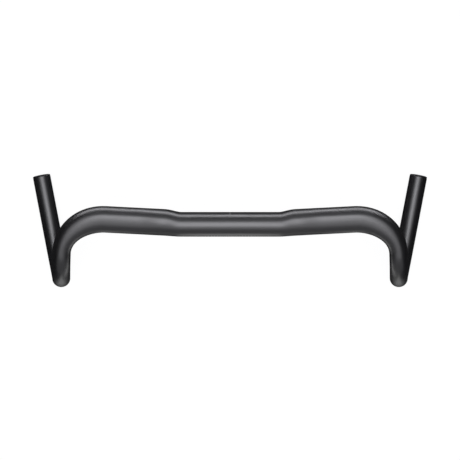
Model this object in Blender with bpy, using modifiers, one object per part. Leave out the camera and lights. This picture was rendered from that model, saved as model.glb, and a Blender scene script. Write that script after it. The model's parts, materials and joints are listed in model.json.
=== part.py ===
"""Flared drop handlebar with a screw-expanded plug in each end, piece by piece.

Frame: the origin is the centre of the seat for the stem's clamp, +Z is up, -Y points
forward along the bicycle and +X towards the rider's left hand. Sizes are in metres.

The bar is one seamless tube. Its centreline runs from the middle of the clamp seat
through a few stations to each cut end, and between two stations the tube is either
straight or makes one bend, as near to round as its two ends allow.
Each plug is a cap, a slotted sleeve, a wedge, a captive nut and a screw. Turning the
screw draws the wedge into the sleeve, which spreads and grips the tube from inside.
"""
import math

import bmesh
import bpy
from mathutils import Matrix, Vector
from mathutils.geometry import interpolate_bezier

# The tube's sections: outside sizes and wall
SEAT_DIAMETER = 0.0318
SEAT_WALL = 0.0021
TOP_DEPTH = 0.0344             # oval tops, fore and aft
SHOULDER_HEIGHT = 0.0290       # where the full depth is reached
TOP_HEIGHT = 0.0246
TOP_WALL = 0.0016
TOP_PITCH = math.radians(7)    # the oval leans nose down
GRIP_DIAMETER = 0.0238
GRIP_WALL = 0.0015

# The centreline of the left half
SEAT_HALF_LENGTH = 0.0626
OVAL_START = 0.0856            # the tops reach their full depth this far from the centre
FLAT_START = 0.1180            # and their least height here
TOP_SETBACK = 0.0026           # the oval's centre sits this far behind the seat's
BACKSWEEP = math.radians(2.9)
ELBOW_START = 0.160
ELBOW_FULLNESS = 1.35          # over 1, the section shrinks later in a stretch
HOOD = Vector((0.2182, -0.0375, -0.0120))   # where the lever's band sits
HOOD_DIVE = math.radians(18.5)
HOOD_TOE_OUT = math.radians(4)
REACH = 0.0712
FRONT_X = 0.2240               # the hook's foremost point
FRONT_Z = -0.0612
FLARE = math.radians(6.3)
HOOK_END_Y = -0.0280
DROP = 0.1150                  # seat centre to the plug's outer face
PLUG_FACE_X = 0.2570
PLUG_FACE_Y = 0.0668
OUTSWEEP = math.radians(11.2)
DROP_SLOPE = math.radians(3)

# The plug, in its own frame: z = 0 is the tube's cut face and +z points out of it
GAP = 0.0003
FLANGE_RADIUS = 0.0118
FLANGE_TOP = 0.0021
FLANGE_EDGE = 0.0008
NOSE_RADIUS = 0.0100
NOSE_END = -0.0060
COUNTERBORE_RADIUS = 0.0038
CLEAR_HOLE_RADIUS = 0.0023
SCREW_RADIUS = 0.0020
SCREW_LENGTH = 0.0300
SCREW_HEAD_RADIUS = 0.0035
SCREW_HEAD_TOP = 0.0016
SCREW_HEAD_HEIGHT = 0.0040
SOCKET_ACROSS_FLATS = 0.0030
SOCKET_DEPTH = 0.0020
SLEEVE_END = -0.0223
SLEEVE_BORE_RADIUS = 0.0055
SLEEVE_MOUTH_RADIUS = 0.0080
TAPER_START = -0.0130
SLOT_START = -0.0110
SLOT_WIDTH = 0.0016
SLOTS = 4
WEDGE_START = -0.0145
WEDGE_END = -0.0275
WEDGE_GAP = 0.00033
RIB_WIDTH = 0.0010
RIB_REACH = 0.0095
NUT_ACROSS_FLATS = 0.0070
NUT_HEIGHT = 0.0032

# How finely round shapes are divided
TUBE_SIDES = 24
TURNED_SIDES = 24
BEND_STEP = math.radians(10)
STEP_RINGS = 6
MERGE = 0.00001


def collection(name):
    """A new collection in the scene."""
    made = bpy.data.collections.new(name)
    bpy.context.scene.collection.children.link(made)
    return made


def finish(name, colour, roughness, metallic=0.0):
    """A plain material; its colour is linear RGB."""
    material = bpy.data.materials.new(name)
    material.use_nodes = True
    shader = material.node_tree.nodes["Principled BSDF"]
    shader.inputs["Base Color"].default_value = (*colour, 1)
    shader.inputs["Roughness"].default_value = roughness
    shader.inputs["Metallic"].default_value = metallic
    return material


def heading(azimuth, dive):
    """Unit vector: azimuth turns from +X towards +Y, and dive points it down."""
    level = math.cos(dive)
    return Vector((level * math.cos(azimuth), level * math.sin(azimuth), -math.sin(dive)))


# ------------------------------------------------------------------ the bar's tube

def cut_face():
    """The left cut face's centre, and the way out of the tube there."""
    outward = heading(math.pi / 2 - OUTSWEEP, DROP_SLOPE)
    plug_face = Vector((PLUG_FACE_X, PLUG_FACE_Y, -DROP))
    return plug_face - outward * FLANGE_TOP, outward


def stations():
    """The left centreline's stations: place, heading and section there.

    A section is its depth, height, wall and pitch.
    """
    seat = (SEAT_DIAMETER, SEAT_DIAMETER, SEAT_WALL, TOP_PITCH)
    shoulder = (TOP_DEPTH, SHOULDER_HEIGHT, TOP_WALL, TOP_PITCH)
    oval = (TOP_DEPTH, TOP_HEIGHT, TOP_WALL, TOP_PITCH)
    grip = (GRIP_DIAMETER, GRIP_DIAMETER, GRIP_WALL, 0.0)
    across = heading(0, 0)
    swept = heading(BACKSWEEP, 0)
    flat_y = TOP_SETBACK + (FLAT_START - OVAL_START) * math.tan(BACKSWEEP)
    elbow_y = TOP_SETBACK + (ELBOW_START - OVAL_START) * math.tan(BACKSWEEP)
    end, outward = cut_face()
    hook_end = end - outward * ((end.y - HOOK_END_Y) / outward.y)
    return [
        (Vector((0, 0, 0)), across, seat),
        (Vector((SEAT_HALF_LENGTH, 0, 0)), across, seat),
        (Vector((OVAL_START, TOP_SETBACK, 0)), swept, shoulder),
        (Vector((FLAT_START, flat_y, 0)), swept, oval),
        (Vector((ELBOW_START, elbow_y, 0)), swept, oval),
        (HOOD, heading(HOOD_TOE_OUT - math.pi / 2, HOOD_DIVE), grip),
        (Vector((FRONT_X, -REACH, FRONT_Z)), heading(0, math.pi / 2 - FLARE), grip),
        (hook_end, outward, grip),
        (end, outward, grip),
    ]


def stretch_centres(start, end, steps):
    """Centres along one stretch, whose handles are those of a round bend."""
    turn = start[1].angle(end[1])
    handle = (end[0] - start[0]).length / (3 * math.cos(turn / 4) ** 2)
    return interpolate_bezier(
        start[0], start[0] + start[1] * handle,
        end[0] - end[1] * handle, end[0], steps + 1)


def tube_rings():
    """Centres and sections of every ring along the left half."""
    centres = []
    sections = []
    table = stations()
    for start, end in zip(table, table[1:]):
        steps = max(1, math.ceil(start[1].angle(end[1]) / BEND_STEP))
        if start[2] != end[2]:
            steps = max(steps, STEP_RINGS)
        skip = 1 if centres else 0
        for number, centre in enumerate(stretch_centres(start, end, steps)[skip:], skip):
            part = number / steps
            if end[0] == HOOD:
                part = part ** ELBOW_FULLNESS
            ease = part * part * (3 - 2 * part)
            centres.append(centre)
            sections.append([a + (b - a) * ease for a, b in zip(start[2], end[2])])
    return centres, sections


def tangents(centres):
    """Unit directions along the centres, exact at both ends."""
    table = stations()
    middle = [(after - before).normalized() for before, after in zip(centres, centres[2:])]
    return [table[0][1], *middle, table[-1][1]]


def add_skin(mesh, centres, sections, inset):
    """Rings of vertices in mesh for the outside, or the bore where inset is 1."""
    skin = []
    side = Vector((0, 1, 0))
    for centre, along, section in zip(centres, tangents(centres), sections):
        depth, height, wall, pitch = section
        side = (side - along * side.dot(along)).normalized()
        up = along.cross(side)
        long_axis = side * math.cos(pitch) + up * math.sin(pitch)
        short_axis = up * math.cos(pitch) - side * math.sin(pitch)
        ring = []
        for number in range(TUBE_SIDES):
            angle = math.tau * number / TUBE_SIDES
            ring.append(mesh.verts.new(
                centre
                + long_axis * (math.cos(angle) * (depth / 2 - inset * wall))
                + short_axis * (math.sin(angle) * (height / 2 - inset * wall))))
        skin.append(ring)
    return skin


def make_bar_tube(parts):
    """The bent and butted tube, lofted for the left half and mirrored."""
    centres, sections = tube_rings()
    mesh = bmesh.new()
    outside = add_skin(mesh, centres, sections, 0)
    bore = add_skin(mesh, centres, sections, 1)
    for this in range(TUBE_SIDES):
        following = (this + 1) % TUBE_SIDES
        for near, far in zip(outside, outside[1:]):
            mesh.faces.new((near[this], near[following], far[following], far[this]))
        for near, far in zip(bore, bore[1:]):
            mesh.faces.new((near[this], far[this], far[following], near[following]))
        mesh.faces.new((outside[-1][this], outside[-1][following],
                        bore[-1][following], bore[-1][this]))
    data = bpy.data.meshes.new("bar_tube")
    mesh.to_mesh(data)
    mesh.free()
    data.materials.append(finish("bar_satin_black", (0.018, 0.018, 0.019), 0.32, 0.6))
    data.shade_smooth()
    data.set_sharp_from_angle(angle=math.radians(40))
    tube = bpy.data.objects.new("bar_tube", data)
    mirror = tube.modifiers.new("right_half", "MIRROR")
    mirror.use_axis = (True, False, False)
    mirror.merge_threshold = MERGE
    parts.objects.link(tube)


# ------------------------------------------------------------------ the end plugs

def turned(name, profile, closed, into, axis):
    """A turned piece: (radius, z) points down its outside, then back up its bore."""
    points = [(radius, 0, height) for radius, height in profile]
    edges = [(number, number + 1) for number in range(len(points) - 1)]
    if closed:
        edges.append((len(points) - 1, 0))
    data = bpy.data.meshes.new(name)
    data.from_pydata(points, edges, [])
    piece = bpy.data.objects.new(name, data)
    spin = piece.modifiers.new("turn", "SCREW")
    spin.axis = "Z"
    spin.angle = math.tau
    spin.steps = TURNED_SIDES
    spin.render_steps = TURNED_SIDES
    spin.use_merge_vertices = True
    spin.merge_threshold = MERGE
    spin.use_smooth_shade = True
    piece.parent = axis
    into.objects.link(piece)
    return piece


def cylinder(name, radius, bottom, top, sides, into, axis):
    """A plain prism or cylinder along the plug's axis."""
    mesh = bmesh.new()
    bmesh.ops.create_cone(
        mesh, cap_ends=True, segments=sides, radius1=radius, radius2=radius,
        depth=top - bottom, matrix=Matrix.Translation((0, 0, (top + bottom) / 2)))
    data = bpy.data.meshes.new(name)
    mesh.to_mesh(data)
    mesh.free()
    piece = bpy.data.objects.new(name, data)
    piece.parent = axis
    into.objects.link(piece)
    return piece


def ring_of_boxes(name, inner, outer, width, bottom, top, into, axis):
    """Equal boxes standing round the axis, one for each slot in the sleeve."""
    mesh = bmesh.new()
    box = Matrix.Translation(((inner + outer) / 2, 0, (top + bottom) / 2)) @ Matrix.Diagonal(
        (outer - inner, width, top - bottom, 1))
    for number in range(SLOTS):
        turn = Matrix.Rotation(math.tau * number / SLOTS, 4, "Z")
        bmesh.ops.create_cube(mesh, size=1, matrix=turn @ box)
    data = bpy.data.meshes.new(name)
    mesh.to_mesh(data)
    mesh.free()
    piece = bpy.data.objects.new(name, data)
    piece.parent = axis
    into.objects.link(piece)
    return piece


def combine(piece, tool, operation):
    """A live Boolean with a tool that itself stays out of sight."""
    tool.hide_render = True
    tool.display_type = "WIRE"
    boolean = piece.modifiers.new(operation.lower(), "BOOLEAN")
    boolean.operation = operation
    boolean.solver = "EXACT"
    boolean.object = tool


def corner_radius(across_flats):
    """The circumscribed radius of a hexagon."""
    return across_flats / 2 / math.cos(math.pi / 6)


def make_end_cap(side, parts, axis, material):
    """The flanged disc that closes the tube, with a counterbore for the screw head."""
    edge_centre = FLANGE_RADIUS - FLANGE_EDGE
    edge = [(edge_centre + FLANGE_EDGE * math.sin(math.radians(angle)),
             FLANGE_TOP - FLANGE_EDGE + FLANGE_EDGE * math.cos(math.radians(angle)))
            for angle in (0, 30, 60, 90)]
    head_seat = SCREW_HEAD_TOP - SCREW_HEAD_HEIGHT - GAP
    cap = turned(f"{side}_end_cap", [
        *edge,
        (FLANGE_RADIUS, GAP),
        (NOSE_RADIUS, GAP),
        (NOSE_RADIUS, NOSE_END + 2 * GAP),
        (NOSE_RADIUS - 2 * GAP, NOSE_END),
        (CLEAR_HOLE_RADIUS, NOSE_END),
        (CLEAR_HOLE_RADIUS, head_seat),
        (COUNTERBORE_RADIUS, head_seat),
        (COUNTERBORE_RADIUS, FLANGE_TOP),
    ], True, parts, axis)
    cap.data.materials.append(material)


def make_expander_sleeve(side, parts, cutters, axis, material):
    """The slotted collar that spreads against the tube's bore."""
    sleeve = turned(f"{side}_expander_sleeve", [
        (NOSE_RADIUS, NOSE_END - GAP),
        (NOSE_RADIUS, SLEEVE_END + GAP),
        (NOSE_RADIUS - GAP, SLEEVE_END),
        (SLEEVE_MOUTH_RADIUS, SLEEVE_END),
        (SLEEVE_BORE_RADIUS, TAPER_START),
        (SLEEVE_BORE_RADIUS, NOSE_END - GAP),
    ], True, parts, axis)
    slots = ring_of_boxes(
        f"{side}_sleeve_slots", SLEEVE_BORE_RADIUS / 2, GRIP_DIAMETER / 2, SLOT_WIDTH,
        SLEEVE_END - SLOT_WIDTH, SLOT_START, cutters, axis)
    combine(sleeve, slots, "DIFFERENCE")
    sleeve.data.materials.append(material)


def make_wedge(side, parts, cutters, axis, material):
    """The ribbed cone that spreads the sleeve, with a pocket for its nut."""
    slope = (SLEEVE_MOUTH_RADIUS - SLEEVE_BORE_RADIUS) / (TAPER_START - SLEEVE_END)
    front_radius = SLEEVE_BORE_RADIUS + (TAPER_START - WEDGE_START) * slope - WEDGE_GAP
    back_radius = front_radius + (WEDGE_START - WEDGE_END) * slope
    wedge = turned(f"{side}_wedge", [
        (front_radius, WEDGE_START),
        (back_radius, WEDGE_END),
        (CLEAR_HOLE_RADIUS, WEDGE_END),
        (CLEAR_HOLE_RADIUS, WEDGE_START),
    ], True, parts, axis)
    ribs = ring_of_boxes(
        f"{side}_wedge_ribs", (front_radius + CLEAR_HOLE_RADIUS) / 2, RIB_REACH, RIB_WIDTH,
        WEDGE_END + RIB_WIDTH / 2, WEDGE_START - RIB_WIDTH / 2, cutters, axis)
    pocket = cylinder(
        f"{side}_nut_pocket", corner_radius(NUT_ACROSS_FLATS + 2 * GAP),
        WEDGE_END - GAP, WEDGE_END + NUT_HEIGHT + 2 * GAP, 6, cutters, axis)
    combine(wedge, ribs, "UNION")
    combine(wedge, pocket, "DIFFERENCE")
    wedge.data.materials.append(material)


def make_wedge_nut(side, parts, cutters, axis, material):
    """The hexagon nut held in the wedge's pocket."""
    nut = cylinder(
        f"{side}_wedge_nut", corner_radius(NUT_ACROSS_FLATS),
        WEDGE_END + GAP / 2, WEDGE_END + GAP / 2 + NUT_HEIGHT, 6, parts, axis)
    bore = cylinder(
        f"{side}_nut_bore", CLEAR_HOLE_RADIUS, WEDGE_END - NUT_HEIGHT,
        WEDGE_END + 2 * NUT_HEIGHT, TURNED_SIDES, cutters, axis)
    combine(nut, bore, "DIFFERENCE")
    nut.data.materials.append(material)


def make_draw_screw(side, parts, cutters, axis, material):
    """The socket head screw that draws the wedge outwards."""
    under_head = SCREW_HEAD_TOP - SCREW_HEAD_HEIGHT
    tip = under_head - SCREW_LENGTH
    screw = turned(f"{side}_draw_screw", [
        (0, SCREW_HEAD_TOP),
        (SCREW_HEAD_RADIUS - GAP, SCREW_HEAD_TOP),
        (SCREW_HEAD_RADIUS, SCREW_HEAD_TOP - GAP),
        (SCREW_HEAD_RADIUS, under_head),
        (SCREW_RADIUS, under_head),
        (SCREW_RADIUS, tip + 2 * GAP),
        (SCREW_RADIUS - 2 * GAP, tip),
        (0, tip),
    ], False, parts, axis)
    socket = cylinder(
        f"{side}_hex_socket", corner_radius(SOCKET_ACROSS_FLATS),
        SCREW_HEAD_TOP - SOCKET_DEPTH, SCREW_HEAD_TOP + SOCKET_DEPTH, 6, cutters, axis)
    combine(screw, socket, "DIFFERENCE")
    screw.data.materials.append(material)


def make_plugs(parts, cutters):
    """Both plugs, each on an empty at its cut face with +Z out of the tube."""
    cap_plastic = finish("cap_black_nylon", (0.012, 0.012, 0.013), 0.55)
    sleeve_plastic = finish("sleeve_grey_nylon", (0.20, 0.20, 0.19), 0.6)
    wedge_plastic = finish("wedge_black_nylon", (0.02, 0.02, 0.02), 0.5)
    steel = finish("zinc_steel", (0.55, 0.56, 0.57), 0.35, 1.0)
    centre, outward = cut_face()
    for side, sign in (("left", 1), ("right", -1)):
        mirrored = Vector((sign, 1, 1))
        axis = bpy.data.objects.new(f"{side}_plug_axis", None)
        axis.matrix_world = Matrix.Translation(centre * mirrored) @ (
            (outward * mirrored).to_track_quat("Z", "Y").to_matrix().to_4x4())
        parts.objects.link(axis)
        make_end_cap(side, parts, axis, cap_plastic)
        make_expander_sleeve(side, parts, cutters, axis, sleeve_plastic)
        make_wedge(side, parts, cutters, axis, wedge_plastic)
        make_wedge_nut(side, parts, cutters, axis, steel)
        make_draw_screw(side, parts, cutters, axis, steel)


def main():
    for thing in list(bpy.data.objects):
        bpy.data.objects.remove(thing)
    parts = collection("drop_handlebar")
    cutters = collection("cutters")
    make_bar_tube(parts)
    make_plugs(parts, cutters)


main()
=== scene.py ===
import json
import math

import bmesh
import bpy
from mathutils import Matrix, Vector
from mathutils.geometry import interpolate_bezier


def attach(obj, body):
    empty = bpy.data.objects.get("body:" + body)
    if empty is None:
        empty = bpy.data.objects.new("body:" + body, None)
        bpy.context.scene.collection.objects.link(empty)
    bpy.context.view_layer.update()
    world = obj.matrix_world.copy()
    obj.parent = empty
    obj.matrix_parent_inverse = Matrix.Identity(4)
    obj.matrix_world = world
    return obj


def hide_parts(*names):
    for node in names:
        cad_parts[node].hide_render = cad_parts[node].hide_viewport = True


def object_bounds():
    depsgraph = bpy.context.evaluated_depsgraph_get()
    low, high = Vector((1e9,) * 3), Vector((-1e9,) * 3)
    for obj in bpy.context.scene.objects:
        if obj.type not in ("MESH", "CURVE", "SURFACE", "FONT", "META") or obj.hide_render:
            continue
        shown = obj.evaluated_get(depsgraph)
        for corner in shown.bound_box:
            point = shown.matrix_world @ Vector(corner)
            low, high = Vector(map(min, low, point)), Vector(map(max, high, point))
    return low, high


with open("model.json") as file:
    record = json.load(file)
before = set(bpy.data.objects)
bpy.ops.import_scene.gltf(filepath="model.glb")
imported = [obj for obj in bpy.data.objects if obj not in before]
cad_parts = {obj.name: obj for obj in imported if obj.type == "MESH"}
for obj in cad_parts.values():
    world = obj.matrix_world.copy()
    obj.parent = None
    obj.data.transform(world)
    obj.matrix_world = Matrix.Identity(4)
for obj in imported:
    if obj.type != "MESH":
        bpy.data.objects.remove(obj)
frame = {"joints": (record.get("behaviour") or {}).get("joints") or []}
cad_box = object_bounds()


# ---------------------------------------------------------------- studio
# A camera looks straight down on the bar, which stands on its drops on a plain white sweep.
# Softboxes hang overhead, in front and behind, and light tables are let into the floor in
# front. Everything else round the set is dark, so that a black tube keeps dark flanks.

CAMERA_HEIGHT = 1.95
CAMERA_Y = -0.0073
CAMERA_LENS = 118.57
SENSOR = 36
FLOOR_GAP = 0.0004
FLOOR_HALF_SIZE = 6.0
WHITE_FLOOR = 0.16           # what the camera sees, diffuse and glow
FLOOR_GLOW = 0.93
DARK_FLOOR = 0.03            # what light that bounces sees, away from the tables
TABLE_GLOW = 1.1
TABLE_EDGE_X = 0.12          # the table before the seat, outwards from the middle
TABLE_FULL_X = 0.05
HOOK_TABLE_X = 0.228         # the table before each hook
HOOK_TABLE_EDGE = 0.095
HOOK_TABLE_FULL = 0.02
HOOK_TABLE_SHARE = 0.8
TABLE_EDGE_Y = -0.09         # every table, forwards
TABLE_FULL_Y = -0.21
TABLE_FADE_Y = -0.40
TABLE_FAR_Y = -0.85
TABLE_FAR_SHARE = 0.5
COOL_WHITE = (0.96, 0.955, 1.0)
ROOM_DARK = (0.007, 0.007, 0.0074)
SOFTBOXES = (                # name, place, what it faces, size and power
    ("overhead_softbox", (0, -0.06, 2.3), (0, -0.06, 0), (1.4, 1.6), 14.5),
    ("overhead_halo", (0, -0.5, 2.31), (0, -0.5, 0), (3.4, 3.3), 25.5),
    ("front_softbox", (0, -1.8, 0.86), (0, 0, 0), (4.6, 2.0), 6.4),
    ("rear_strip", (0, 1.6, 0.02), (0, 0, 0), (3.0, 0.64), 22),
    ("rear_fill", (0, 1.7, 1.9), (0, 0, 0), (3.0, 1.1), 2.8))

view_camera = bpy.data.cameras.new("overhead_camera")
view_camera.sensor_width = SENSOR
view_camera.lens = CAMERA_LENS
view_camera.clip_start = 0.01
camera = bpy.data.objects.new("overhead_camera", view_camera)
camera.location = (0, CAMERA_Y, CAMERA_HEIGHT)
bpy.context.scene.collection.objects.link(camera)
bpy.context.scene.camera = camera
bpy.context.scene.view_settings.view_transform = "Standard"


def link_nodes(tree, *pairs):
    """Joins output sockets to input sockets, pair by pair."""
    for source, target in pairs:
        tree.links.new(source, target)


def remap(tree, source, low, high, from_low=0.3, from_high=0.7, interpolation="LINEAR"):
    """A mask brought from one range, as a rule noise's, to another and clamped there."""
    node = tree.nodes.new("ShaderNodeMapRange")
    node.interpolation_type = interpolation
    node.inputs["From Min"].default_value = from_low
    node.inputs["From Max"].default_value = from_high
    node.inputs["To Min"].default_value = low
    node.inputs["To Max"].default_value = high
    tree.links.new(source, node.inputs["Value"])
    return node.outputs["Result"]


def maths(tree, operation, first, second=None, third=None):
    """A Math node on sockets or numbers."""
    node = tree.nodes.new("ShaderNodeMath")
    node.operation = operation
    for slot_number, value in enumerate((first, second, third)):
        if isinstance(value, (int, float)):
            node.inputs[slot_number].default_value = value
        elif value is not None:
            tree.links.new(value, node.inputs[slot_number])
    return node.outputs[0]


def mixed(tree, mask, low, high):
    """Two colours mixed by a mask; either may be a colour or a socket."""
    node = tree.nodes.new("ShaderNodeMix")
    node.data_type = "RGBA"
    tree.links.new(mask, node.inputs["Factor"])
    for label, value in (("A", low), ("B", high)):
        if isinstance(value, tuple):
            node.inputs[label].default_value = (*value, 1)
        else:
            tree.links.new(value, node.inputs[label])
    return node.outputs["Result"]


def table_light(tree, across, forward):
    """The light tables' glow at a place on the floor."""
    across = maths(tree, "ABSOLUTE", across)
    seat_table = remap(tree, across, 0, 1, TABLE_EDGE_X, TABLE_FULL_X, "SMOOTHSTEP")
    off_hook = maths(tree, "ABSOLUTE", maths(tree, "SUBTRACT", across, HOOK_TABLE_X))
    hook_table = remap(tree, off_hook, 0, HOOK_TABLE_SHARE, HOOK_TABLE_EDGE, HOOK_TABLE_FULL,
                       "SMOOTHSTEP")
    near = remap(tree, forward, 0, TABLE_GLOW, TABLE_EDGE_Y, TABLE_FULL_Y, "SMOOTHSTEP")
    far = remap(tree, forward, 1, TABLE_FAR_SHARE, TABLE_FADE_Y, TABLE_FAR_Y)
    return maths(tree, "MULTIPLY", maths(tree, "MULTIPLY", near, far),
                 maths(tree, "MAXIMUM", seat_table, hook_table))


def lay_floor():
    """A white floor. Only the camera sees it white all over.

    Light that bounces meets a dark floor, with light tables let into it in front of the seat
    and of each hook.
    """
    shape = bmesh.new()
    bmesh.ops.create_grid(shape, x_segments=1, y_segments=1, size=FLOOR_HALF_SIZE)
    bmesh.ops.translate(shape, verts=shape.verts, vec=(0, 0, cad_box[0][2] - FLOOR_GAP))
    data = bpy.data.meshes.new("floor")
    shape.to_mesh(data)
    shape.free()
    floor = bpy.data.objects.new("floor", data)
    bpy.context.scene.collection.objects.link(floor)
    material = bpy.data.materials.new("white_sweep")
    material.use_nodes = True
    tree = material.node_tree
    shader = tree.nodes["Principled BSDF"]
    shader.inputs["Roughness"].default_value = 0.9
    shader.inputs["Specular IOR Level"].default_value = 0.1
    shader.inputs["Emission Color"].default_value = (1, 1, 1, 1)
    place = tree.nodes.new("ShaderNodeTexCoord")
    split = tree.nodes.new("ShaderNodeSeparateXYZ")
    tree.links.new(place.outputs["Object"], split.inputs[0])
    camera_ray = tree.nodes.new("ShaderNodeLightPath").outputs["Is Camera Ray"]
    grey = mixed(tree, camera_ray, (DARK_FLOOR,) * 3, (WHITE_FLOOR,) * 3)
    glow = tree.nodes.new("ShaderNodeMix")
    glow.inputs["B"].default_value = FLOOR_GLOW
    link_nodes(
        tree,
        (grey, shader.inputs["Base Color"]),
        (camera_ray, glow.inputs["Factor"]),
        (table_light(tree, split.outputs["X"], split.outputs["Y"]), glow.inputs["A"]),
        (glow.outputs["Result"], shader.inputs["Emission Strength"]))
    data.materials.append(material)


def hang_light(name, place, aim, size, power):
    """A rectangular softbox that the camera itself doesn't see."""
    lamp = bpy.data.lights.new(name, "AREA")
    lamp.shape = "RECTANGLE"
    lamp.size, lamp.size_y = size
    lamp.energy = power
    lamp.color = COOL_WHITE
    light = bpy.data.objects.new(name, lamp)
    light.location = place
    light.rotation_euler = (Vector(aim) - Vector(place)).to_track_quat("-Z", "Y").to_euler()
    light.visible_camera = False
    bpy.context.scene.collection.objects.link(light)


lay_floor()
for softbox in SOFTBOXES:
    hang_light(*softbox)

world = bpy.data.worlds.new("white_room")
world.use_nodes = True
bpy.context.scene.world = world
room = world.node_tree
room_seen = room.nodes.new("ShaderNodeLightPath").outputs["Is Camera Ray"]
room.links.new(mixed(room, room_seen, ROOM_DARK, (1, 1, 1)),
               room.nodes["Background"].inputs["Color"])


# ---------------------------------------------------------------- bar tube
# One seamless aluminium tube, butted, swaged round and oval, and bent on mandrels. It is bead
# blasted and dyed satin black, and the seat for the stem has fine etched ticks to centre it.

SEAT_DIAMETER = 0.0318
SEAT_WALL = 0.0021
TOP_DEPTH = 0.0344
SHOULDER_HEIGHT = 0.0290
TOP_HEIGHT = 0.0246
TOP_WALL = 0.0016
TOP_PITCH = math.radians(7)
GRIP_DIAMETER = 0.0238
GRIP_WALL = 0.0015
SEAT_HALF_LENGTH = 0.0626
OVAL_START = 0.0856
FLAT_START = 0.1180
TOP_SETBACK = 0.0026
BACKSWEEP = math.radians(2.9)
ELBOW_START = 0.160
ELBOW_FULLNESS = 1.35        # over 1, the elbow stays full until nearer the hood
HOOD = Vector((0.2182, -0.0375, -0.0120))
HOOD_DIVE = math.radians(18.5)
HOOD_TOE_OUT = math.radians(4)
REACH = 0.0712
FRONT_X = 0.2240
FRONT_Z = -0.0612
FLARE = math.radians(6.3)
HOOK_END_Y = -0.0280
FLANGE_TOP = 0.0021
TUBE_SIDES = 96
BEND_STEP = math.radians(2)
RING_SPACING = 0.010
SWAGE_RINGS = 26
EDGE_BREAK = 0.0003
MERGE = 0.00001
SHARP_ANGLE = math.radians(35)
SPINE_HEIGHT = 0.0009        # a soft spine along the back of the oval's top
SPINE_PLACE = 0.44           # of the half depth, behind the middle
SPINE_WIDTH = 0.38


def joint(name):
    """A joint of the frame, by its name."""
    return next(entry for entry in frame["joints"] if entry["name"] == name)


def heading(azimuth, dive):
    """Unit vector: azimuth turns from +X towards +Y, and dive points it down."""
    level = math.cos(dive)
    return Vector((level * math.cos(azimuth), level * math.sin(azimuth), -math.sin(dive)))


def bar_stations():
    """Place, heading and section at each station of the left half, from the middle out."""
    seat = (SEAT_DIAMETER, SEAT_DIAMETER, SEAT_WALL, TOP_PITCH)
    shoulder = (TOP_DEPTH, SHOULDER_HEIGHT, TOP_WALL, TOP_PITCH)
    oval = (TOP_DEPTH, TOP_HEIGHT, TOP_WALL, TOP_PITCH)
    grip = (GRIP_DIAMETER, GRIP_DIAMETER, GRIP_WALL, 0.0)
    across = heading(0, 0)
    swept = heading(BACKSWEEP, 0)
    flat_y = TOP_SETBACK + (FLAT_START - OVAL_START) * math.tan(BACKSWEEP)
    elbow_y = TOP_SETBACK + (ELBOW_START - OVAL_START) * math.tan(BACKSWEEP)
    outward = Vector(joint("left_screw_turn")["axis"])
    cut = Vector(joint("left_screw_turn")["pos_m"]) - outward * FLANGE_TOP
    hook_end = cut - outward * ((cut.y - HOOK_END_Y) / outward.y)
    return [
        (Vector((0, 0, 0)), across, seat),
        (Vector((SEAT_HALF_LENGTH, 0, 0)), across, seat),
        (Vector((OVAL_START, TOP_SETBACK, 0)), swept, shoulder),
        (Vector((FLAT_START, flat_y, 0)), swept, oval),
        (Vector((ELBOW_START, elbow_y, 0)), swept, oval),
        (HOOD, heading(HOOD_TOE_OUT - math.pi / 2, HOOD_DIVE), grip),
        (Vector((FRONT_X, -REACH, FRONT_Z)), heading(0, math.pi / 2 - FLARE), grip),
        (hook_end, outward, grip),
        (cut, outward, grip),
    ]


def bar_path():
    """Centre, section and distance from the middle for every ring of the left half."""
    table = bar_stations()
    rings = [(table[0][0], table[0][2], 0.0)]
    for start, end in zip(table, table[1:]):
        turn = start[1].angle(end[1])
        length = (end[0] - start[0]).length
        steps = math.ceil(max(turn / BEND_STEP, length / RING_SPACING))
        if start[2] != end[2]:
            steps = max(steps, SWAGE_RINGS)
        handle = length / (3 * math.cos(turn / 4) ** 2)
        curve = interpolate_bezier(
            start[0], start[0] + start[1] * handle,
            end[0] - end[1] * handle, end[0], steps + 1)
        for number, centre in enumerate(curve[1:], 1):
            part = number / steps
            if end[0] == HOOD:
                part = part ** ELBOW_FULLNESS
            ease = part * part * (3 - 2 * part)
            section = [a + (b - a) * ease for a, b in zip(start[2], end[2])]
            rings.append((centre, section, rings[-1][2] + (centre - rings[-1][0]).length))
    return rings, table[0][1], table[-1][1]


def bar_frames():
    """For each ring: its distance along, its section, and its axes and centre."""
    rings, first, last = bar_path()
    centres = [ring[0] for ring in rings]
    middle = [(after - before).normalized() for before, after in zip(centres, centres[2:])]
    side = Vector((0, 1, 0))
    frames = []
    for (centre, section, distance), along in zip(rings, [first, *middle, last]):
        side = (side - along * side.dot(along)).normalized()
        up = along.cross(side)
        pitch = section[3]
        long_axis = side * math.cos(pitch) + up * math.sin(pitch)
        short_axis = up * math.cos(pitch) - side * math.sin(pitch)
        axes = Matrix((long_axis, short_axis, along)).transposed().to_4x4()
        frames.append((distance, section, Matrix.Translation(centre) @ axes))
    return frames


def ring_matrix(section, axes, inset, back=0.0):
    """Lays a unit circle on a ring: inset from the outside, and back from its plane."""
    depth, height = section[:2]
    return axes @ Matrix.Translation((0, 0, -back)) @ Matrix.Diagonal(
        (depth / 2 - inset, height / 2 - inset, 1, 1))


def spine_lift(section, axes):
    """How far, and which way, the spine's crest stands off the plain oval at a ring."""
    flatness = (section[0] - section[1]) / (TOP_DEPTH - TOP_HEIGHT)
    return axes.to_3x3() @ Vector((0, SPINE_HEIGHT * flatness, 0))


NO_LIFT = Vector((0, 0, 0))


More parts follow.
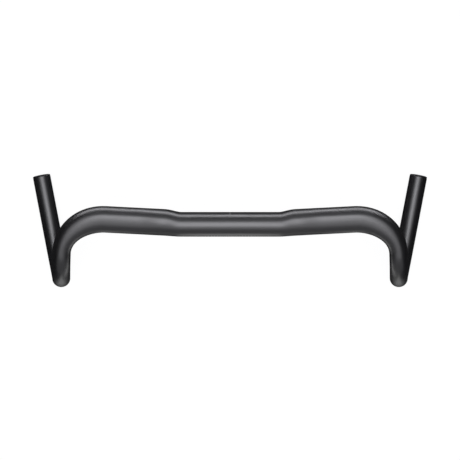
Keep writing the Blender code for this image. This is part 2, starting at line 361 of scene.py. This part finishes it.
def bar_rings():
    """The rings that the tube is drawn through: out along the outside, back along the bore."""
    frames = bar_frames()
    cut_distance, cut_section, cut_axes = frames[-1]
    wall = cut_section[2]
    outside = [(ring_matrix(section, axes, 0), distance, spine_lift(section, axes))
               for distance, section, axes in frames[:-1]]
    cut = [(ring_matrix(cut_section, cut_axes, inset, back), cut_distance - back, NO_LIFT)
           for inset, back in ((0, 3 * EDGE_BREAK), (0, EDGE_BREAK),
                               (EDGE_BREAK / 3, EDGE_BREAK / 3),
                               (EDGE_BREAK, 0), (wall - EDGE_BREAK, 0),
                               (wall - EDGE_BREAK / 3, EDGE_BREAK / 3),
                               (wall, EDGE_BREAK), (wall, 3 * EDGE_BREAK))]
    bore = [(ring_matrix(section, axes, section[2]), distance, NO_LIFT)
            for distance, section, axes in reversed(frames[:-1])]
    return [*outside, *cut, *bore]


def new_piece(name, shape, material):
    """An object from a finished bmesh, shaded smooth up to an angle."""
    data = bpy.data.meshes.new(name)
    shape.to_mesh(data)
    shape.free()
    data.shade_smooth()
    data.set_sharp_from_angle(angle=SHARP_ANGLE)
    data.materials.append(material)
    piece = bpy.data.objects.new(name, data)
    bpy.context.scene.collection.objects.link(piece)
    return piece


def draw_bar():
    """The tube as one closed skin, with each point's place on the straight blank kept."""
    shape = bmesh.new()
    blank = shape.verts.layers.float_vector.new("straight_blank")
    rings = bar_rings()
    verts = bmesh.ops.create_circle(shape, segments=TUBE_SIDES, radius=1)["verts"]
    edges = shape.edges[:]
    before = Matrix.Identity(4)
    crests = []
    for number, (matrix, distance, lift) in enumerate(rings):
        if number:
            made = bmesh.ops.extrude_edge_only(shape, edges=edges)["geom"]
            verts = [part for part in made if isinstance(part, bmesh.types.BMVert)]
            edges = [part for part in made
                     if isinstance(part, bmesh.types.BMEdge) and part.is_boundary]
        bmesh.ops.transform(shape, matrix=matrix @ before.inverted(), verts=verts)
        flat = matrix.inverted()
        for vert in verts:
            angle = flat @ vert.co
            vert[blank] = (angle.x * GRIP_DIAMETER / 2, angle.y * GRIP_DIAMETER / 2, distance)
            if angle.y > 0:
                rise = math.exp(-((angle.x - SPINE_PLACE) / SPINE_WIDTH) ** 2)
                rise *= 1 - (1 - angle.y) ** 3
                crests.append((vert, lift * rise))
        before = matrix
    for vert, rise in crests:
        vert.co += rise
    bmesh.ops.mirror(shape, geom=shape.verts[:] + shape.edges[:] + shape.faces[:],
                     matrix=Matrix.Identity(4), merge_dist=MERGE, axis="X")
    for vert in shape.verts:
        if vert.co.x < 0:
            x, y, z = vert[blank]
            vert[blank] = (x, y, -z)
    bmesh.ops.recalc_face_normals(shape, faces=shape.faces)
    return shape


def node_group(name, inputs, outputs):
    """An empty shader group; inputs give a socket type and a starting value."""
    group = bpy.data.node_groups.new(name, "ShaderNodeTree")
    for label, (kind, value) in inputs.items():
        socket = group.interface.new_socket(label, in_out="INPUT", socket_type=kind)
        if value is not None:
            socket.default_value = value
    for label, kind in outputs.items():
        group.interface.new_socket(label, in_out="OUTPUT", socket_type=kind)
    return group, group.nodes.new("NodeGroupInput"), group.nodes.new("NodeGroupOutput")


PIT_SHARE = 0.5


def grain_group():
    """Fine even grain, as of blasted metal or a spark-eroded mould, and broad cloudiness."""
    group, given, result = node_group(
        "surface_grain",
        {"Place": ("NodeSocketVector", None), "Grains per metre": ("NodeSocketFloat", 3000.0),
         "Clouds per metre": ("NodeSocketFloat", 25.0)},
        {"Height": "NodeSocketFloat", "Speckle": "NodeSocketFloat", "Cloud": "NodeSocketFloat"})
    grain = group.nodes.new("ShaderNodeTexNoise")
    grain.inputs["Detail"].default_value = 2.0
    grain.inputs["Roughness"].default_value = 0.6
    pits = group.nodes.new("ShaderNodeTexVoronoi")
    pits.feature = "SMOOTH_F1"
    pits.inputs["Smoothness"].default_value = 0.6
    height = maths(group, "MULTIPLY_ADD", pits.outputs["Distance"], PIT_SHARE,
                   grain.outputs["Fac"])
    cloud = group.nodes.new("ShaderNodeTexNoise")
    cloud.inputs["Detail"].default_value = 4.0
    cloud.inputs["Roughness"].default_value = 0.55
    link_nodes(
        group,
        (given.outputs["Place"], grain.inputs["Vector"]),
        (given.outputs["Place"], pits.inputs["Vector"]),
        (given.outputs["Place"], cloud.inputs["Vector"]),
        (given.outputs["Grains per metre"], grain.inputs["Scale"]),
        (given.outputs["Grains per metre"], pits.inputs["Scale"]),
        (given.outputs["Clouds per metre"], cloud.inputs["Scale"]),
        (height, result.inputs["Height"]),
        (grain.outputs["Fac"], result.inputs["Speckle"]),
        (cloud.outputs["Fac"], result.inputs["Cloud"]))
    return group


surface_grain = grain_group()


def principled(name, roughness, metallic):
    """A new material, its tree and its Principled shader."""
    material = bpy.data.materials.new(name)
    material.use_nodes = True
    shader = material.node_tree.nodes["Principled BSDF"]
    shader.inputs["Roughness"].default_value = roughness
    shader.inputs["Metallic"].default_value = metallic
    return material, material.node_tree, shader


def add_bump(tree, shader, height, strength, distance):
    """Surface relief in metres, straight into the shader's normal."""
    bump = tree.nodes.new("ShaderNodeBump")
    bump.inputs["Strength"].default_value = strength
    bump.inputs["Distance"].default_value = distance
    link_nodes(tree, (height, bump.inputs["Height"]),
               (bump.outputs["Normal"], shader.inputs["Normal"]))


def add_grain(tree, grains, clouds):
    """The grain group on the piece's own place."""
    place = tree.nodes.new("ShaderNodeTexCoord").outputs["Object"]
    node = tree.nodes.new("ShaderNodeGroup")
    node.node_tree = surface_grain
    node.inputs["Grains per metre"].default_value = grains
    node.inputs["Clouds per metre"].default_value = clouds
    tree.links.new(place, node.inputs["Place"])
    return node


BAR_BLACK = (0.0135, 0.0135, 0.0146)
BAR_BLACK_DEEP = (0.0108, 0.0108, 0.0119)
BAR_ETCHED = (0.25, 0.25, 0.255)
BAR_GRAINS_PER_METRE = 3200
BAR_CLOUDS_PER_METRE = 18
BAR_ROUGHNESS = (0.33, 0.36)
OXIDE_IOR = 1.8                     # the clear oxide over the dye
TICK_WIDTH = 0.0005
CENTRE_TICK = (-0.15, 0.55)         # radians round the tube, from straight back
SIDE_TICKS = (0.012, 0.034)         # metres either side of the middle
SIDE_TICK_PITCH = 0.004
SIDE_TICK_WINDOW = (2.58, 2.90)
DRAW_LINES_PER_METRE = 900
DRAW_LINE_SCALE = (1, 1, 0.02)      # drawn out along the tube
DRAW_LINE_SHARE = 0.25


def window(tree, value, low, high):
    """1 where a value lies between two limits."""
    above = maths(tree, "GREATER_THAN", value, low)
    return maths(tree, "MULTIPLY", above, maths(tree, "LESS_THAN", value, high))


def etched_ticks(tree, around, distance):
    """Mask of the plain ticks on the seat: one behind, and a short scale on each side in front."""
    off_centre = maths(tree, "ABSOLUTE", distance)
    centre = maths(tree, "MULTIPLY", maths(tree, "LESS_THAN", off_centre, TICK_WIDTH),
                   window(tree, around, *CENTRE_TICK))
    phase = maths(tree, "PINGPONG", off_centre, SIDE_TICK_PITCH / 2)
    scale = maths(tree, "MULTIPLY", maths(tree, "LESS_THAN", phase, TICK_WIDTH / 2),
                  window(tree, off_centre, *SIDE_TICKS))
    scale = maths(tree, "MULTIPLY", scale, window(tree, around, *SIDE_TICK_WINDOW))
    return maths(tree, "MAXIMUM", centre, scale)


def bar_finish():
    """Satin black anodising over a bead-blasted skin, with drawing lines just showing."""
    material, tree, shader = principled("bar_satin_black", roughness=0.34, metallic=0.0)
    shader.inputs["IOR"].default_value = OXIDE_IOR
    shader.inputs["Specular IOR Level"].default_value = 0.8
    blank = tree.nodes.new("ShaderNodeAttribute")
    blank.attribute_name = "straight_blank"
    split = tree.nodes.new("ShaderNodeSeparateXYZ")
    tree.links.new(blank.outputs["Vector"], split.inputs[0])
    stretch = tree.nodes.new("ShaderNodeVectorMath")
    stretch.operation = "MULTIPLY"
    stretch.inputs[1].default_value = DRAW_LINE_SCALE
    lines = tree.nodes.new("ShaderNodeTexNoise")
    lines.inputs["Scale"].default_value = DRAW_LINES_PER_METRE
    lines.inputs["Detail"].default_value = 2.0
    link_nodes(tree, (blank.outputs["Vector"], stretch.inputs[0]),
               (stretch.outputs[0], lines.inputs["Vector"]))
    grain = add_grain(tree, BAR_GRAINS_PER_METRE, BAR_CLOUDS_PER_METRE)
    around = maths(tree, "ARCTAN2", split.outputs["Y"], split.outputs["X"])
    ticks = etched_ticks(tree, around, split.outputs["Z"])
    tone = mixed(tree, remap(tree, grain.outputs["Cloud"], 0, 1), BAR_BLACK_DEEP, BAR_BLACK)
    tree.links.new(mixed(tree, ticks, tone, BAR_ETCHED), shader.inputs["Base Color"])
    rough = maths(tree, "ADD", remap(tree, grain.outputs["Cloud"], *BAR_ROUGHNESS),
                  remap(tree, lines.outputs["Fac"], -0.01, 0.01))
    rough = maths(tree, "ADD", rough, remap(tree, grain.outputs["Speckle"], -0.02, 0.02))
    tree.links.new(rough, shader.inputs["Roughness"])
    relief = maths(tree, "MULTIPLY_ADD", lines.outputs["Fac"], DRAW_LINE_SHARE,
                   grain.outputs["Height"])
    add_bump(tree, shader, relief, strength=0.12, distance=0.00004)
    return material


bar_tube = new_piece("bar_tube_skin", draw_bar(), bar_finish())
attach(bar_tube, "bar")
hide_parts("bar_tube")


# ---------------------------------------------------------------- wedge nuts
# An M4 steel nut sits in each wedge. It is pressed from hexagon wire, chamfered on both faces,
# tapped and bright zinc plated, and the wedge's pocket keeps it from turning.

THREAD_PITCH = 0.0007
THREAD_RADIUS = 0.0020
THREAD_DEPTH = 0.00040
NUT_ACROSS_FLATS = 0.0070
NUT_HEIGHT = 0.0032
NUT_CHAMFER = 0.0005
NUT_BACK = -0.02735          # along the plug's axis, from the cut face
NUT_THREAD_ROOM = 0.0003
OVERSHOOT = 0.001            # how far a cutter stands past what it cuts
FINE_STEPS = 96
THREAD_STEPS = 32
THREAD_FORM = (              # share of the pitch, and of the depth below the crest
    (0.0, 1), (0.14, 1), (0.44, 0), (0.56, 0), (0.86, 1), (1.0, 1))
THREAD_SPARE_TURNS = 2       # cut off square at the ends
WELD = 0.000001


def plug_axis(side):
    """The frame of one plug: its origin on the cut face, and +Z out of the tube."""
    outward = Vector(joint(f"{side}_screw_turn")["axis"])
    cut = Vector(joint(f"{side}_screw_turn")["pos_m"]) - outward * FLANGE_TOP
    return Matrix.Translation(cut) @ outward.to_track_quat("Z", "Y").to_matrix().to_4x4()


def turned(profile, steps=FINE_STEPS):
    """A closed turned solid from (radius, height) corners round its section."""
    shape = bmesh.new()
    corners = [shape.verts.new((radius, 0, height)) for radius, height in profile]
    edges = [shape.edges.new(pair) for pair in zip(corners, corners[1:])]
    if profile[0][0] or profile[-1][0]:
        edges.append(shape.edges.new((corners[-1], corners[0])))
    bmesh.ops.spin(shape, geom=corners + edges, axis=(0, 0, 1), cent=(0, 0, 0),
                   angle=math.tau, steps=steps, use_merge=True)
    bmesh.ops.remove_doubles(shape, verts=shape.verts, dist=WELD)
    bmesh.ops.recalc_face_normals(shape, faces=shape.faces)
    return shape


def prism(across_flats, bottom, top):
    """A hexagonal prism on the axis."""
    shape = bmesh.new()
    radius = across_flats / 2 / math.cos(math.pi / 6)
    bmesh.ops.create_cone(shape, cap_ends=True, segments=6, radius1=radius, radius2=radius,
                          depth=top - bottom,
                          matrix=Matrix.Translation((0, 0, (top + bottom) / 2)))
    return shape


def combined(body, tool, operation):
    """One bmesh cut by, joined with or kept inside another; both are used up."""
    things = []
    for shape in (body, tool):
        data = bpy.data.meshes.new("blank")
        shape.to_mesh(data)
        shape.free()
        things.append(bpy.data.objects.new("blank", data))
        bpy.context.scene.collection.objects.link(things[-1])
    boolean = things[0].modifiers.new("boolean", "BOOLEAN")
    boolean.operation = operation
    boolean.object = things[1]
    result = bmesh.new()
    result.from_object(things[0], bpy.context.evaluated_depsgraph_get())
    for thing in things:
        bpy.data.objects.remove(thing)
    bmesh.ops.remove_doubles(result, verts=result.verts, dist=WELD)
    return result


def thread(radius, depth, bottom, top):
    """A threaded rod, cut square and closed at both ends."""
    shape = bmesh.new()
    turns = math.ceil((top - bottom) / THREAD_PITCH) + THREAD_SPARE_TURNS
    start = bottom - THREAD_PITCH * 0.75 * THREAD_SPARE_TURNS
    corners = [shape.verts.new((radius - depth * low, 0, start + THREAD_PITCH * part))
               for part, low in THREAD_FORM]
    edges = [shape.edges.new(pair) for pair in zip(corners, corners[1:])]
    bmesh.ops.spin(shape, geom=corners + edges, axis=(0, 0, 1), cent=(0, 0, 0),
                   angle=math.tau * turns, steps=THREAD_STEPS * turns,
                   dvec=(0, 0, THREAD_PITCH / THREAD_STEPS))
    bmesh.ops.remove_doubles(shape, verts=shape.verts, dist=2 * WELD)
    for height, way in ((top, 1), (bottom, -1)):
        bmesh.ops.bisect_plane(
            shape, geom=shape.verts[:] + shape.edges[:] + shape.faces[:],
            plane_co=(0, 0, height), plane_no=(0, 0, way), clear_outer=True)
    bmesh.ops.holes_fill(shape, edges=[edge for edge in shape.edges if edge.is_boundary])
    bmesh.ops.recalc_face_normals(shape, faces=shape.faces)
    return shape


ZINC_DULL = (0.47, 0.48, 0.50)
ZINC_BRIGHT = (0.63, 0.64, 0.64)
ZINC_ROUGHNESS = (0.26, 0.42)


def zinc_finish():
    """Bright zinc plating, a little cloudy and finely pitted."""
    material, tree, shader = principled("zinc_steel", roughness=0.3, metallic=1.0)
    grain = add_grain(tree, grains=5200, clouds=260)
    tone = mixed(tree, remap(tree, grain.outputs["Cloud"], 0, 1), ZINC_DULL, ZINC_BRIGHT)
    tree.links.new(tone, shader.inputs["Base Color"])
    tree.links.new(remap(tree, grain.outputs["Cloud"], *ZINC_ROUGHNESS),
                   shader.inputs["Roughness"])
    add_bump(tree, shader, grain.outputs["Height"], strength=0.1, distance=0.00003)
    return material


def place_piece(name, shape, material, side, body, node):
    """Sets a piece built on the plug's axis into its tube, hangs it on its body and hides the
    imported part that it stands for.
    """
    bmesh.ops.transform(shape, matrix=plug_axis(side), verts=shape.verts)
    piece = new_piece(name, shape, material)
    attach(piece, body)
    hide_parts(node)


def nut_shape():
    """The hexagon, chamfered where a cone cuts its corners, with a threaded hole."""
    top = NUT_BACK + NUT_HEIGHT
    corner = NUT_ACROSS_FLATS / 2 / math.cos(math.pi / 6)
    shape = prism(NUT_ACROSS_FLATS, NUT_BACK, top)
    chamfer = turned([
        (0, top), (corner - NUT_CHAMFER, top), (corner + NUT_CHAMFER / 2, top - NUT_CHAMFER),
        (corner + NUT_CHAMFER / 2, NUT_BACK + NUT_CHAMFER), (corner - NUT_CHAMFER, NUT_BACK),
        (0, NUT_BACK)])
    shape = combined(shape, chamfer, "INTERSECT")
    hole = thread(THREAD_RADIUS + NUT_THREAD_ROOM, THREAD_DEPTH / 2,
                  NUT_BACK - OVERSHOOT, top + OVERSHOOT)
    return combined(shape, hole, "DIFFERENCE")


SIDES = ("left", "right")
zinc_steel = zinc_finish()
for side in SIDES:
    place_piece(f"{side}_hex_nut", nut_shape(), zinc_steel,
                side, f"{side}_wedge_set", f"{side}_wedge_nut")


# ---------------------------------------------------------------- wedges
# A cone of black glass-filled nylon, moulded in one with four ribs that ride in the sleeve's
# slots so that it can't turn. The nut is pushed into the pocket in its back.

NOSE_RADIUS = 0.0100
SLEEVE_END = -0.0223
SLEEVE_BORE_RADIUS = 0.0055
SLEEVE_MOUTH_RADIUS = 0.0080
TAPER_START = -0.0130
SLOT_START = -0.0110
SLOT_WIDTH = 0.0016
SLOTS = 4
WEDGE_START = -0.0145
WEDGE_END = -0.0275
WEDGE_GAP = 0.00033
RIB_WIDTH = 0.0010
RIB_REACH = 0.0095
CLEAR_HOLE_RADIUS = 0.0024
PART_GAP = 0.0003
RIB_ROUND = 0.0002
HARD_EDGE = math.radians(40)


def eased(shape, width):
    """Small rounds on every hard edge."""
    edges = [edge for edge in shape.edges
             if edge.is_manifold and edge.calc_face_angle(0) > HARD_EDGE]
    bmesh.ops.bevel(shape, geom=edges, offset=width, offset_type="OFFSET", segments=2,
                    profile=0.5, affect="EDGES", clamp_overlap=True, material=-1)
    return shape


def ring_of_boxes(inner, outer, width, bottom, top):
    """Equal boxes round the axis, one for each slot."""
    shape = bmesh.new()
    box = Matrix.Translation(((inner + outer) / 2, 0, (top + bottom) / 2)) @ Matrix.Diagonal(
        (outer - inner, width, top - bottom, 1))
    for number in range(SLOTS):
        turn = Matrix.Rotation(math.tau * number / SLOTS, 4, "Z")
        bmesh.ops.create_cube(shape, size=1, matrix=turn @ box)
    return shape


NYLON_IOR = 1.53
NYLON_CLOUDS_PER_METRE = 140


def nylon_finish(name, low, high, roughness, grains, depth):
    """Moulded nylon with the fine grain of its mould and cloudy, slightly uneven gloss."""
    material, tree, shader = principled(name, roughness, metallic=0.0)
    shader.inputs["IOR"].default_value = NYLON_IOR
    grain = add_grain(tree, grains, NYLON_CLOUDS_PER_METRE)
    tone = mixed(tree, remap(tree, grain.outputs["Cloud"], 0, 1), low, high)
    tree.links.new(tone, shader.inputs["Base Color"])
    uneven = remap(tree, grain.outputs["Cloud"], roughness - 0.05, roughness + 0.05)
    rough = maths(tree, "ADD", uneven, remap(tree, grain.outputs["Speckle"], -0.04, 0.04))
    tree.links.new(rough, shader.inputs["Roughness"])
    add_bump(tree, shader, grain.outputs["Height"], strength=0.35, distance=depth)
    return material


def wedge_shape():
    """The cone with its ribs, its clearance hole and the nut's pocket."""
    slope = (SLEEVE_MOUTH_RADIUS - SLEEVE_BORE_RADIUS) / (TAPER_START - SLEEVE_END)
    front = SLEEVE_BORE_RADIUS + (TAPER_START - WEDGE_START) * slope - WEDGE_GAP
    back = front + (WEDGE_START - WEDGE_END) * slope
    shape = turned([
        (front, WEDGE_START), (back, WEDGE_END),
        (CLEAR_HOLE_RADIUS, WEDGE_END), (CLEAR_HOLE_RADIUS, WEDGE_START)])
    ribs = ring_of_boxes((front + CLEAR_HOLE_RADIUS) / 2, RIB_REACH, RIB_WIDTH,
                         WEDGE_END + RIB_WIDTH / 2, WEDGE_START - RIB_WIDTH / 2)
    shape = combined(shape, eased(ribs, RIB_ROUND), "UNION")
    pocket = prism(NUT_ACROSS_FLATS + 2 * PART_GAP, WEDGE_END - PART_GAP,
                   WEDGE_END + NUT_HEIGHT + 2 * PART_GAP)
    return combined(shape, pocket, "DIFFERENCE")


wedge_nylon = nylon_finish("wedge_black_nylon", low=(0.024, 0.024, 0.024),
                           high=(0.036, 0.036, 0.035), roughness=0.5, grains=2600, depth=0.00006)
for side in SIDES:
    place_piece(f"{side}_ribbed_wedge", wedge_shape(), wedge_nylon,
                side, f"{side}_wedge_set", f"{side}_wedge")


# ---------------------------------------------------------------- expander sleeves
# A collar of grey nylon, ringed outside to grip the bore and slotted from its inner end, so
# that its four fingers spread when the wedge is drawn into the taper.

GRIP_RINGS = 7
GRIP_RING_PITCH = 0.0020
GRIP_RING_DEPTH = 0.00035
GRIP_GROOVE = (              # distance down from each ring's start, and share of the depth
    (0.0011, 0), (0.00145, 1), (0.0019, 1), (0.0022, 0))
SLEEVE_TOP = -0.0063


def sleeve_shape():
    """The ringed collar, less its four slots."""
    outside = [(NOSE_RADIUS, SLEEVE_TOP)]
    for number in range(GRIP_RINGS):
        outside += [(NOSE_RADIUS - GRIP_RING_DEPTH * deep,
                     SLEEVE_TOP - number * GRIP_RING_PITCH - down) for down, deep in GRIP_GROOVE]
    shape = turned([
        *outside,
        (NOSE_RADIUS, SLEEVE_END + PART_GAP),
        (NOSE_RADIUS - PART_GAP, SLEEVE_END),
        (SLEEVE_MOUTH_RADIUS, SLEEVE_END),
        (SLEEVE_BORE_RADIUS, TAPER_START),
        (SLEEVE_BORE_RADIUS, SLEEVE_TOP)])
    slots = ring_of_boxes(SLEEVE_BORE_RADIUS / 2, GRIP_DIAMETER / 2, SLOT_WIDTH,
                          SLEEVE_END - SLOT_WIDTH, SLOT_START)
    return combined(shape, slots, "DIFFERENCE")


sleeve_nylon = nylon_finish("sleeve_grey_nylon", low=(0.24, 0.24, 0.23),
                            high=(0.32, 0.32, 0.31), roughness=0.58, grains=2400, depth=0.00006)
for side in SIDES:
    place_piece(f"{side}_slotted_sleeve", sleeve_shape(), sleeve_nylon,
                side, f"{side}_plug", f"{side}_expander_sleeve")


# ---------------------------------------------------------------- end caps
# A moulded black nylon cap closes each cut end. Its rounded flange butts on the tube, a short
# nose centres it in the bore, and the screw's head is sunk in its middle.

FLANGE_RADIUS = 0.0118
FLANGE_ROUND = 0.0008
FLANGE_DISH = 0.00035
RIM_WIDTH = 0.0011
RIM_CREST = 0.0004
COLLAR_WIDTH = 0.0012
COLLAR_ROUND = 0.0003
FLANGE_CORNER = 0.0001
COUNTERBORE_RADIUS = 0.0038
SCREW_HEAD_TOP = 0.0016
SCREW_HEAD_HEIGHT = 0.0040
NOSE_END = -0.0060


def arc(centre_radius, centre_height, size, first, last, count=6):
    """Corners along an arc of a turned section; degrees, from +Z outwards."""
    angles = [math.radians(first + (last - first) * number / count)
              for number in range(count + 1)]
    return [(centre_radius + size * math.sin(angle), centre_height + size * math.cos(angle))
            for angle in angles]


def cap_shape():
    """The flange with a shallow dish inside its rim, the nose and the stepped hole."""
    head_seat = SCREW_HEAD_TOP - SCREW_HEAD_HEIGHT - PART_GAP
    collar = COUNTERBORE_RADIUS + COLLAR_WIDTH
    rim = FLANGE_RADIUS - FLANGE_ROUND
    return turned([
        (collar, FLANGE_TOP - FLANGE_DISH),
        (rim - RIM_WIDTH, FLANGE_TOP - FLANGE_DISH),
        *arc(rim - RIM_CREST, FLANGE_TOP - FLANGE_DISH, FLANGE_DISH, -60, 0, count=3),
        *arc(rim, FLANGE_TOP - FLANGE_ROUND, FLANGE_ROUND, 0, 90),
        (FLANGE_RADIUS, PART_GAP + FLANGE_CORNER),
        (FLANGE_RADIUS - FLANGE_CORNER, PART_GAP),
        (NOSE_RADIUS, PART_GAP),
        (NOSE_RADIUS, NOSE_END + 2 * PART_GAP),
        (NOSE_RADIUS - 2 * PART_GAP, NOSE_END),
        (CLEAR_HOLE_RADIUS, NOSE_END),
        (CLEAR_HOLE_RADIUS, head_seat),
        (COUNTERBORE_RADIUS, head_seat),
        *arc(COUNTERBORE_RADIUS + COLLAR_ROUND, FLANGE_TOP - COLLAR_ROUND, COLLAR_ROUND,
             -90, 0, count=3),
        (collar - COLLAR_ROUND, FLANGE_TOP)])


cap_nylon = nylon_finish("cap_black_nylon", low=(0.019, 0.019, 0.020),
                         high=(0.028, 0.028, 0.030), roughness=0.55, grains=2800, depth=0.00005)
for side in SIDES:
    place_piece(f"{side}_flanged_cap", cap_shape(), cap_nylon,
                side, f"{side}_plug", f"{side}_end_cap")


# ---------------------------------------------------------------- draw screws
# An M4 x 30 socket head screw in zinc-plated steel runs down the middle of each plug. A 3 mm
# key turns it, and its thread draws the wedge outwards.

SCREW_HEAD_RADIUS = 0.0035
SCREW_LENGTH = 0.0300
SOCKET_ACROSS_FLATS = 0.0030
SOCKET_DEPTH = 0.0020
PLAIN_SHANK = 0.0040
SCREW_HEAD_ROUND = 0.0003
SCREW_POINT = 0.0006
KNURLS = 36
KNURL_DEPTH = 0.00012


def screw_shape():
    """Head, knurl, socket, plain shank and rolled thread."""
    under_head = SCREW_HEAD_TOP - SCREW_HEAD_HEIGHT
    tip = under_head - SCREW_LENGTH
    edge = SCREW_HEAD_ROUND
    head = turned([
        (0, SCREW_HEAD_TOP),
        *arc(SCREW_HEAD_RADIUS - edge, SCREW_HEAD_TOP - edge, edge, 0, 90, count=3),
        (SCREW_HEAD_RADIUS, under_head + edge / 3), (SCREW_HEAD_RADIUS - edge / 3, under_head),
        (THREAD_RADIUS, under_head), (THREAD_RADIUS, under_head - PLAIN_SHANK),
        (0, under_head - PLAIN_SHANK)], steps=4 * KNURLS)
    for vert in head.verts:
        reach = math.hypot(vert.co.x, vert.co.y)
        if reach > SCREW_HEAD_RADIUS - MERGE and vert.co.z < SCREW_HEAD_TOP - edge / 2:
            groove = math.cos(KNURLS * math.atan2(vert.co.y, vert.co.x))
            vert.co.xy *= 1 - KNURL_DEPTH / SCREW_HEAD_RADIUS * (0.5 - 0.5 * groove)
    socket = prism(SOCKET_ACROSS_FLATS, SCREW_HEAD_TOP - SOCKET_DEPTH,
                   SCREW_HEAD_TOP + SOCKET_DEPTH)
    head = combined(head, socket, "DIFFERENCE")
    rod = thread(THREAD_RADIUS, THREAD_DEPTH, tip, under_head - PLAIN_SHANK / 2)
    end = THREAD_RADIUS - SCREW_POINT
    point = turned([
        (0, 0), (THREAD_RADIUS * 2, 0), (THREAD_RADIUS * 2, tip + THREAD_RADIUS * 2 - end),
        (end, tip), (0, tip)])
    rod = combined(rod, point, "INTERSECT")
    return combined(head, rod, "UNION")


for side in SIDES:
    place_piece(f"{side}_socket_screw", screw_shape(), zinc_steel,
                side, f"{side}_screw", f"{side}_draw_screw")
